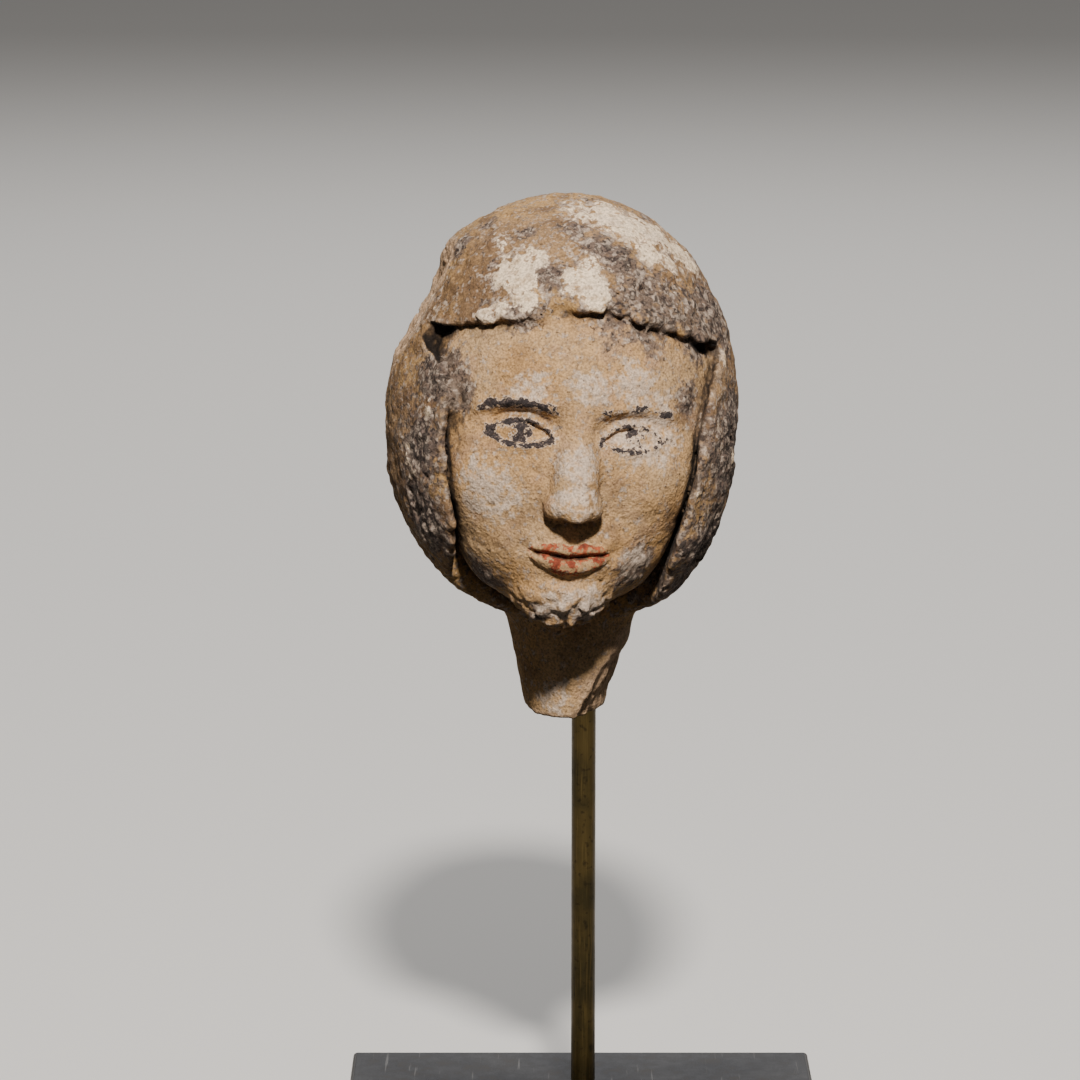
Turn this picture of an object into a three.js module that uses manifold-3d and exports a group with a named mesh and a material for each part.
// A small carved limestone head in a plain smooth headcloth. Its neck is broken off, and a
// thin brass rod with a low square foot holds it up. Millimetres, +Z up. The face looks
// along -Y. The origin is at the middle of the foot's underside, on the rod's axis.
import * as THREE from "three";
import { mergeVertices } from "three/addons/utils/BufferGeometryUtils.js";
import Module from "manifold-3d";

// Driving sizes
const headHeight = 104;
const rodDiameter = 5;
const rodEndChamfer = 0.5;
const rodShowing = 92;
const neckSocketDepth = 14;
const socketClearance = 0.3;
const footWidth = 100;
const footDepth = 100;
const footThickness = 10;
const footEdgeChamfer = 1;
const metalUnderRod = 3;

// The head's pose on the rod, in degrees: it turns, looks up and leans a little
const headTurn = 5;
const headLookUp = 5;
const headLean = 4.5;

// How fine the facets are
const headFacets = 20;
const roundSides = 32;

// The head is a free form. All its numbers below are in units of 1/104 of its height,
// measured from a point between the ears: x to the viewer's right, y back, z up.
const unit = headHeight / 104;
const headBesideRod = new THREE.Vector2(-4.5, -1).multiplyScalar(unit);
const meshCentre = new THREE.Vector3(1, -4, -14);
const facetsCrowdToFace = 0.55;
const facetRow = 1.5;
const clothSideOfEdge = 1;
const faceSideOfEdge = -0.3;

const eyeApart = 10.8;
const eyeLevel = -3.6;
const eyeHalfWidth = 5.7;
const browLevel = 2.7;
const noseBase = -19.2;
const mouthLevel = -26.4;
const mouthHalfWidth = 8.3;

const clamp = THREE.MathUtils.clamp;

function fade(from, to, value) {
  const t = clamp((value - from) / (to - from), 0, 1);
  return t * t * (3 - 2 * t);
}

function bump(...scaled) {
  return Math.exp(-scaled.reduce((sum, value) => sum + value * value, 0));
}

// Joins two forms with a round fillet, or cuts one by the other with a round edge
function join(a, b, round) {
  const h = clamp(0.5 + (0.5 * (b - a)) / round, 0, 1);
  return b + (a - b) * h - round * h * (1 - h);
}

function cut(a, b, round) {
  return -join(-a, b, round);
}

function ellipsoid(x, y, z, centre, radii) {
  const px = (x - centre[0]) / radii[0];
  const py = (y - centre[1]) / radii[1];
  const pz = (z - centre[2]) / radii[2];
  const reach = Math.hypot(px, py, pz) + 1e-9;
  const slope = Math.hypot(px / radii[0], py / radii[1], pz / radii[2]) + 1e-9;
  return (reach * (reach - 1)) / slope;
}

function taperedBar(x, y, z, start, end, startRadius, endRadius) {
  const along = [end[0] - start[0], end[1] - start[1], end[2] - start[2]];
  const from = [x - start[0], y - start[1], z - start[2]];
  const lengthSquared = along[0] ** 2 + along[1] ** 2 + along[2] ** 2;
  const dot = from[0] * along[0] + from[1] * along[1] + from[2] * along[2];
  const t = clamp(dot / lengthSquared, 0, 1);
  const off = Math.hypot(from[0] - t * along[0], from[1] - t * along[1], from[2] - t * along[2]);
  return off - (startRadius + (endRadius - startRadius) * t);
}

// Soft unevenness between -1 and 1, its lumps about `size` across
function lumps(x, y, z, size) {
  const k = Math.PI / size;
  const a = Math.sin(k * (x + 0.6 * y) + 1.3) * Math.sin(k * (y - 0.5 * z) + 0.4);
  const b = Math.sin(k * (0.8 * z + 0.7 * x) + 2.1) * Math.sin(k * (0.9 * y + 0.5 * x - 0.3 * z) + 5.2);
  return 0.5 * (a + b);
}

// The headcloth is an egg, a little boxy low down, where it bags out behind the lappets,
// and not quite even from side to side
function clothEgg(x, y, z) {
  const up = z + 2;
  const boxiness = 2 + 0.28 * fade(8, -28, z);
  const aside = 0.6 - 0.7 * bump((z - 4) / 16) + fade(-18, -38, z);
  const fullerLeftTop = x < aside ? 4 * fade(20, 34, z) : 0;
  const qx = Math.abs(x - aside) / (35 + fullerLeftTop);
  const qy = Math.abs(y) / (y < 0 ? 39 : 38.5);
  const qz = Math.abs(up) / (up > 0 ? 44 : 41);
  const reach = (qx ** boxiness + qy ** boxiness + qz ** boxiness) ** (1 / boxiness) + 1e-9;
  return Math.hypot(x, y, up) * (1 - 1 / reach);
}

// The opening for the face, seen from the front: below zero inside its arched fringe and
// between the edges of the two lappets
function openingOutline(x, z) {
  const halfWidth = 25.4 + 0.157 * z;
  const fringe = 19.8 - 5.2 * (x / 27) ** 2;
  return cut(Math.abs(x) - halfWidth, -(z - fringe), 2);
}

function faceOpening(x, y, z) {
  const floor = -15 + 6 * fade(-12, -34, z);
  return cut(openingOutline(x, z), -(y - floor), 2.5);
}

// Where a point is in an almond eye: how far inside its rim, how far along and above its axis
function eyeOpening(side, z) {
  const t = (side - eyeApart) / eyeHalfWidth;
  const above = z - (eyeLevel + 0.05 * (side - eyeApart));
  const arch = clamp(1 - t * t, 0, 1);
  const upper = 2.5 * arch ** 0.75 * (1 - 0.16 * t);
  const lower = 1.5 * arch ** 0.9 * (1 + 0.2 * t);
  const inside = Math.min(upper - above, above + lower, (1 - Math.abs(t)) * eyeHalfWidth * 0.8);
  return { inside, t, above };
}

function eyeRelief(side, z) {
  const sockets = -1.7 * bump((side - 11) / 6.8, (z - eyeLevel - 2) / 3.9)
    - 1.3 * bump((side - 5.4) / 2.3, (z - eyeLevel - 1.4) / 3.2);
  const lidSwell = 1.6 * bump((side - eyeApart) / 5.4, (z - eyeLevel) / 3.1);
  const { inside, t, above } = eyeOpening(side, z);
  const tail = fade(2.15, 1.75, t) * fade(-1.35, -1, t);
  const upperLid = fade(-0.2, 0.2, above);
  const rim = bump((inside + 0.7) / 0.85) * tail * (0.35 + 0.42 * upperLid);
  const browLine = browLevel - 0.026 * (side - 11.5) ** 2 - 0.05 * Math.max(5 - side, 0);
  const brow = 0.75 * bump((z - browLine) / 1.5) * fade(3.2, 5.5, side) * fade(21.5, 18.5, side);
  return sockets + lidSwell + rim + brow;
}

function mouthRelief(x, side, z) {
  const u = Math.min(side / mouthHalfWidth, 1);
  const line = mouthLevel + 0.7 * u ** 2.2 - 0.3 * bump(x / 2.2);
  const top = line + (2.9 - 0.45 * bump(x / 1.2)) * Math.sqrt(Math.max(1 - u ** 1.7, 1e-4));
  const bottom = line - 3.7 * Math.sqrt(Math.max(1 - u * u, 1e-4));
  const p = clamp((z - line) / (top - line), 0, 1);
  const q = clamp((line - z) / (line - bottom), 0, 1);
  const thin = Math.sqrt(Math.max(1 - u * u, 0));
  const lips = 1.2 * thin * (4 * p * (1 - p)) ** 0.8 + 1.5 * thin * (4 * q * (1 - q)) ** 0.8;
  const parting = -0.6 * bump((z - line) / 0.8) * fade(1.1, 0.85, side / mouthHalfWidth);
  const corners = -0.45 * bump((side - 8.9) / 1.8, (z - line) / 1.6);
  const belowLip = -0.9 * bump(x / 5.5, (z - mouthLevel + 5.1) / 1.5);
  const philtrum = -0.35 * bump(x / 1.5, (z + 21.9) / 1.8);
  return lips + parting + corners + belowLip + philtrum;
}

function nose(x, side, y, z) {
  const bridge = taperedBar(x, y, z, [0, -32.6, 0], [0, -38.2, -16], 2.3, 3.1);
  const wing = ellipsoid(side, y, z, [3.3, -35.4, -17], [2.5, 3.1, 2.5]);
  const root = ellipsoid(x, y, z, [0, -34.5, -12], [4.2, 4.5, 8]);
  const whole = join(join(bridge, wing, 1.6), root, 3);
  return cut(whole, z - noseBase - 0.18 * (y + 36), 1.4);
}

function face(x, y, z) {
  const side = Math.abs(x);
  let form = ellipsoid(x, y, z, [0, -4, 2], [31, 31.5, 34]);
  form = join(form, ellipsoid(x, y, z, [0, -5, -12], [23.6, 28.3, 29]), 5);
  form = join(form, ellipsoid(side, y, z, [12.8, -20.4, -12], [11.2, 11.4, 11.2]), 7);
  form = join(form, ellipsoid(side, y, z, [9.4, -18.2, -24.5], [9.8, 10.4, 10.2]), 6);
  form = join(form, ellipsoid(x, y, z, [0, -25.2, -25.5], [11.5, 8, 9.5]), 5);
  form = join(form, ellipsoid(x, y, z, [0, -24.6, -35], [8.6, 7.6, 6.4]), 5);
  const front = fade(-12, -22, y);
  form -= (eyeRelief(side, z) + mouthRelief(x, side, z)) * front;
  const { inside } = eyeOpening(side, z);
  form += 0.9 * fade(-0.4, 0.7, inside) * front;
  if (inside > -1.2) {
    form = join(form, ellipsoid(side, y, z, [eyeApart + 0.1, -26.6, eyeLevel + 0.1], [6.6, 6, 4.6]), 0.4);
  }
  return join(form, nose(x, side, y, z), 1.8);
}

// The neck stub, which tapers down and ends in a rough break
function neck(x, y, z) {
  const t = clamp((-38 - z) / 24, -0.4, 1.2);
  const radiusX = 13.7 - 4.9 * t;
  const radiusY = 13.5 - 2 * t;
  const reach = Math.hypot((x - 4.3 - 2.1 * t) / radiusX, (y - 2.5 - 0.5 * t) / radiusY);
  const side = (reach - 1) * Math.min(radiusX, radiusY);
  const below = cut(side, z + 62 - 0.05 * x - 0.08 * y, 1.2);
  return cut(below, -(z + 18), 2);
}

// What broke away: a hollow scoop high on one side, and a slanting face low on the neck
function scoop(x, y, z) {
  const hollow = Math.hypot(x + 68.3, 0.8 * y - 3, z - 35.3) - 44.6;
  return hollow + 0.5 * lumps(x, y, z, 6);
}

function neckBreak(x, y, z) {
  const slant = 0.72 * (x - 15.2) - 0.42 * (y + 11) - 0.55 * (z + 46.2);
  return -slant + 0.4 * lumps(x, y, z, 5) + 30 * fade(-43, -39, z);
}

// Distance-like value of the whole head, below zero inside the stone
function headForm(x, y, z) {
  const wornFringe = ellipsoid(x, y, z, [-2, -37.2, 18.5], [8, 2.6, 3.2]);
  const cloth = cut(cut(clothEgg(x, y, z), faceOpening(x, y, z), 0.9), wornFringe, 1.5);
  let form = join(cloth, face(x, y, z), 0.7);
  form = join(form, neck(x, y, z), 2);
  form = cut(form, scoop(x, y, z), 1);
  form = cut(form, neckBreak(x, y, z), 0.8);
  return form + 0.3 * lumps(x, y, z, 11);
}

// Walks in along a line from `far` until it meets the form, then halves down to its surface
function surfaceAlong(form, start, direction, far) {
  const shortestStep = 0.3;
  const value = (t) => form(
    start.x + t * direction.x,
    start.y + t * direction.y,
    start.z + t * direction.z,
  );
  let outside = far;
  let here = value(outside);
  let inside = outside;
  while (here > 0 && inside > 0) {
    outside = inside;
    inside -= Math.max(0.6 * here, shortestStep);
    here = value(inside);
  }
  for (let i = 0; i < 16; i += 1) {
    const middle = 0.5 * (inside + outside);
    if (value(middle) > 0) {
      outside = middle;
    } else {
      inside = middle;
    }
  }
  return inside;
}

function positionOnly(geometry) {
  geometry.deleteAttribute("normal");
  geometry.deleteAttribute("uv");
  return mergeVertices(geometry);
}

// Lines that leave close to the opening's edge are turned, so that one row of corners runs
// along the cloth's edge and the next one along the foot of its step
function alignToOpening(direction) {
  const point = direction.clone();
  point.multiplyScalar(surfaceAlong(clothEgg, meshCentre, direction, 90)).add(meshCentre);
  const place = openingOutline(point.x, point.z);
  if (point.y > 0 || place < -1.4 * facetRow || place > 0.8 * facetRow) {
    return;
  }
  const target = place < -0.4 * facetRow ? faceSideOfEdge : clothSideOfEdge;
  const small = 0.01;
  const slopeX = (openingOutline(point.x + small, point.z) - place) / small;
  const slopeZ = (openingOutline(point.x, point.z + small) - place) / small;
  const share = (target - place) / (slopeX ** 2 + slopeZ ** 2);
  point.x += share * slopeX;
  point.z += share * slopeZ;
  direction.copy(point.sub(meshCentre).normalize());
}

// A ball of even facets, crowded towards the face, each corner moved out to the carved surface
function carvedHead() {
  const geometry = positionOnly(new THREE.IcosahedronGeometry(1, headFacets));
  const corners = geometry.attributes.position;
  const direction = new THREE.Vector3();
  for (let i = 0; i < corners.count; i += 1) {
    direction.fromBufferAttribute(corners, i);
    direction.y -= facetsCrowdToFace;
    alignToOpening(direction.normalize());
    const reach = surfaceAlong(headForm, meshCentre, direction, 90);
    direction.multiplyScalar(reach).add(meshCentre).multiplyScalar(unit);
    corners.setXYZ(i, direction.x, direction.y, direction.z);
  }
  return geometry;
}

const headPose = new THREE.Matrix4().makeRotationFromEuler(new THREE.Euler(
  THREE.MathUtils.degToRad(-headLookUp),
  THREE.MathUtils.degToRad(headLean),
  THREE.MathUtils.degToRad(headTurn),
  "ZYX",
));

// Height of the neck's underside over the rod, from the head's own middle, in its pose
function neckSeat() {
  const toHead = headPose.clone().invert();
  const start = new THREE.Vector3(-headBesideRod.x, -headBesideRod.y, 0).applyMatrix4(toHead);
  const down = new THREE.Vector3(0, 0, -1).applyMatrix4(toHead);
  return -surfaceAlong(headForm, start.divideScalar(unit), down, 90) * unit;
}

const manifold = await Module();
manifold.setup();

function toSolid(geometry) {
  return new manifold.Manifold(new manifold.Mesh({
    numProp: 3,
    vertProperties: new Float32Array(geometry.attributes.position.array),
    triVerts: new Uint32Array(geometry.index.array),
  }));
}

function toGeometry(solid) {
  const mesh = solid.getMesh();
  const geometry = new THREE.BufferGeometry();
  geometry.setAttribute("position", new THREE.BufferAttribute(mesh.vertProperties, 3));
  geometry.setIndex(new THREE.BufferAttribute(mesh.triVerts, 1));
  return geometry;
}

// An upright round bar from z = bottom to z = top, with its two ends chamfered
function roundBar(diameter, bottom, top, chamfer) {
  const radius = diameter / 2;
  const profile = [
    new THREE.Vector2(0, bottom),
    new THREE.Vector2(radius - chamfer, bottom),
    new THREE.Vector2(radius, bottom + chamfer),
    new THREE.Vector2(radius, top - chamfer),
    new THREE.Vector2(radius - chamfer, top),
    new THREE.Vector2(0, top),
  ];
  return positionOnly(new THREE.LatheGeometry(profile, roundSides).rotateX(Math.PI / 2));
}

// A drilled blind hole: the rod's size and its clearance all round
function socketCutter(bottom, top) {
  const radius = rodDiameter / 2 + socketClearance;
  const cylinder = new THREE.CylinderGeometry(radius, radius, top - bottom, roundSides, 1);
  cylinder.rotateX(Math.PI / 2).translate(0, 0, (top + bottom) / 2);
  return toSolid(positionOnly(cylinder));
}

function footPlate() {
  const halfWidth = footWidth / 2 - footEdgeChamfer;
  const halfDepth = footDepth / 2 - footEdgeChamfer;
  const outline = new THREE.Shape([
    new THREE.Vector2(-halfWidth, -halfDepth),
    new THREE.Vector2(halfWidth, -halfDepth),
    new THREE.Vector2(halfWidth, halfDepth),
    new THREE.Vector2(-halfWidth, halfDepth),
  ]);
  const slab = new THREE.ExtrudeGeometry(outline, {
    depth: footThickness - 2 * footEdgeChamfer,
    bevelThickness: footEdgeChamfer,
    bevelSize: footEdgeChamfer,
    bevelSegments: 1,
  });
  return positionOnly(slab.translate(0, 0, footEdgeChamfer));
}

const seat = neckSeat();
const neckHeight = footThickness + rodShowing;
const headPlace = new THREE.Vector3(headBesideRod.x, headBesideRod.y, neckHeight - seat);

function limestoneHead() {
  const stone = toSolid(carvedHead().applyMatrix4(headPose).translate(headPlace));
  const hole = socketCutter(neckHeight - headHeight / 4, neckHeight + neckSocketDepth);
  return toGeometry(stone.subtract(hole)).translate(-headPlace.x, -headPlace.y, -headPlace.z);
}

const limestone = new THREE.MeshStandardMaterial({ color: 0xb99c76, roughness: 0.95, metalness: 0 });
const dullBrass = new THREE.MeshStandardMaterial({ color: 0x6b5a30, roughness: 0.45, metalness: 1 });
const blackenedSteel = new THREE.MeshStandardMaterial({ color: 0x242528, roughness: 0.55, metalness: 0.6 });

const head = new THREE.Mesh(limestoneHead(), limestone);
head.name = "limestone_head";
head.position.copy(headPlace);

const rodBottom = metalUnderRod + socketClearance;
const rodTop = neckHeight + neckSocketDepth - socketClearance;
const rod = new THREE.Mesh(roundBar(rodDiameter, rodBottom, rodTop, rodEndChamfer), dullBrass);
rod.name = "support_rod";

const footHole = socketCutter(metalUnderRod, 2 * footThickness);
const foot = new THREE.Mesh(toGeometry(toSolid(footPlate()).subtract(footHole)), blackenedSteel);
foot.name = "base_plate";

const group = new THREE.Group();
group.add(foot, rod, head);

export default group;
